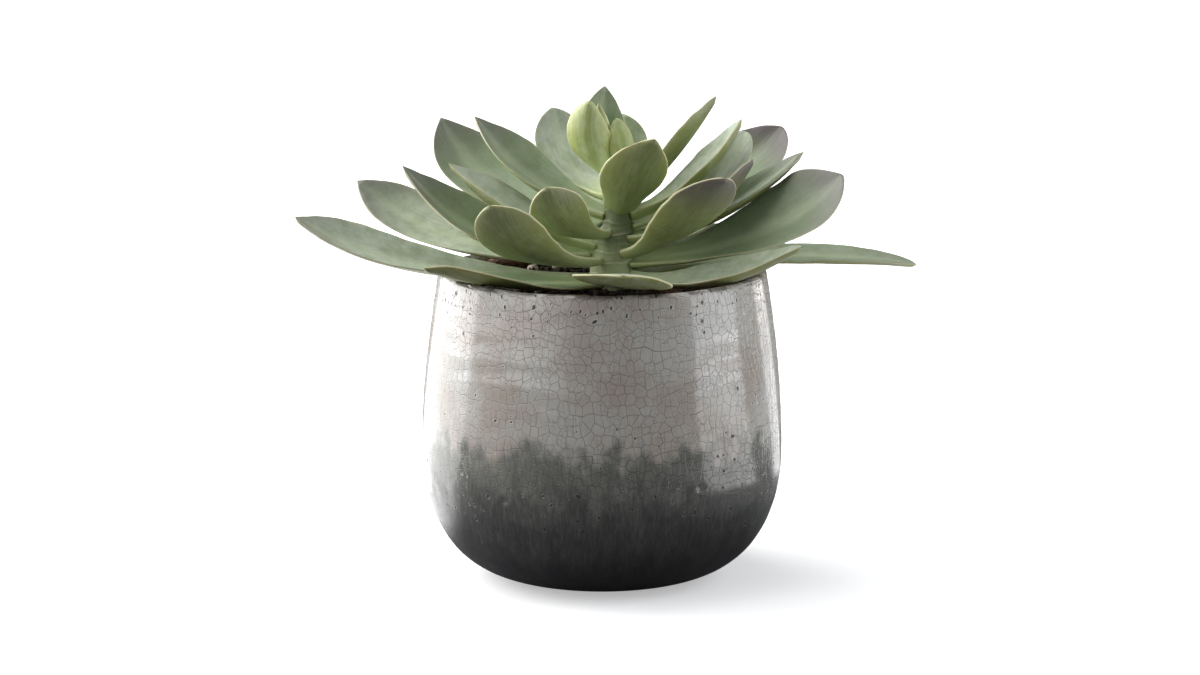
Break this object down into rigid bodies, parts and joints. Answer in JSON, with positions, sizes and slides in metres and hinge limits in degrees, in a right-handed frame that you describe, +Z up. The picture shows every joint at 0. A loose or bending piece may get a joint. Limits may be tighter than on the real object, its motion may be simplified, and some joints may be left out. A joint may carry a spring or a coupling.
{
  "type": "potted succulent",
  "caption": "Rosette succulent with long waxy leaves on a short stem, in a rounded crackle-glazed pot with a flat foot.",
  "frame": {"origin": "centre of the pot's flat foot, on the surface it stands on", "axes": "+Z up along the pot's axis; +X to the right of the front view, along the longest leaves; -Y to the front"},
  "size_m": [0.2773, 0.1786, 0.2235],
  "materials": {
    "glaze": "gloss",
    "soil": "matte",
    "bark": "matte",
    "stone": "matte",
    "stem": "satin",
    "leaf": "satin",
    "bud": "satin"
  },
  "bodies": {
    "root": {"pot": "glaze", "soil": "soil", "stem": "stem", "low_leaf_1": "leaf", "low_leaf_2": "leaf", "low_leaf_3": "leaf", "low_leaf_4": "leaf", "low_leaf_5": "leaf", "low_leaf_6": "leaf", "low_leaf_7": "leaf", "low_leaf_8": "leaf", "low_leaf_9": "leaf", "mid_leaf_1": "leaf", "mid_leaf_2": "leaf", "mid_leaf_3": "leaf", "mid_leaf_4": "leaf", "mid_leaf_5": "leaf", "mid_leaf_6": "leaf", "mid_leaf_7": "leaf", "mid_leaf_8": "leaf", "mid_leaf_9": "leaf", "mid_leaf_10": "leaf", "upper_leaf_1": "leaf", "upper_leaf_2": "leaf", "upper_leaf_3": "leaf", "upper_leaf_4": "leaf", "upper_leaf_5": "leaf", "upper_leaf_6": "leaf", "upper_leaf_7": "leaf", "upper_leaf_8": "leaf", "upper_leaf_9": "leaf", "bud_leaf_1": "bud", "bud_leaf_2": "bud", "bud_leaf_3": "bud", "bud_leaf_4": "bud", "bud_leaf_5": "bud", "bark_chip_1": "bark", "bark_chip_2": "bark", "bark_chip_3": "bark", "bark_chip_4": "bark", "bark_chip_5": "bark", "bark_chip_6": "bark", "bark_chip_7": "bark", "bark_chip_8": "bark", "bark_chip_9": "bark", "bark_chip_10": "bark", "bark_chip_11": "bark", "bark_chip_12": "bark", "bark_chip_13": "bark", "bark_chip_14": "bark", "stone_1": "stone", "stone_2": "stone", "stone_3": "stone", "stone_4": "stone", "stone_5": "stone", "stone_6": "stone", "stone_7": "stone", "stone_8": "stone"}
  },
  "joints": []
}
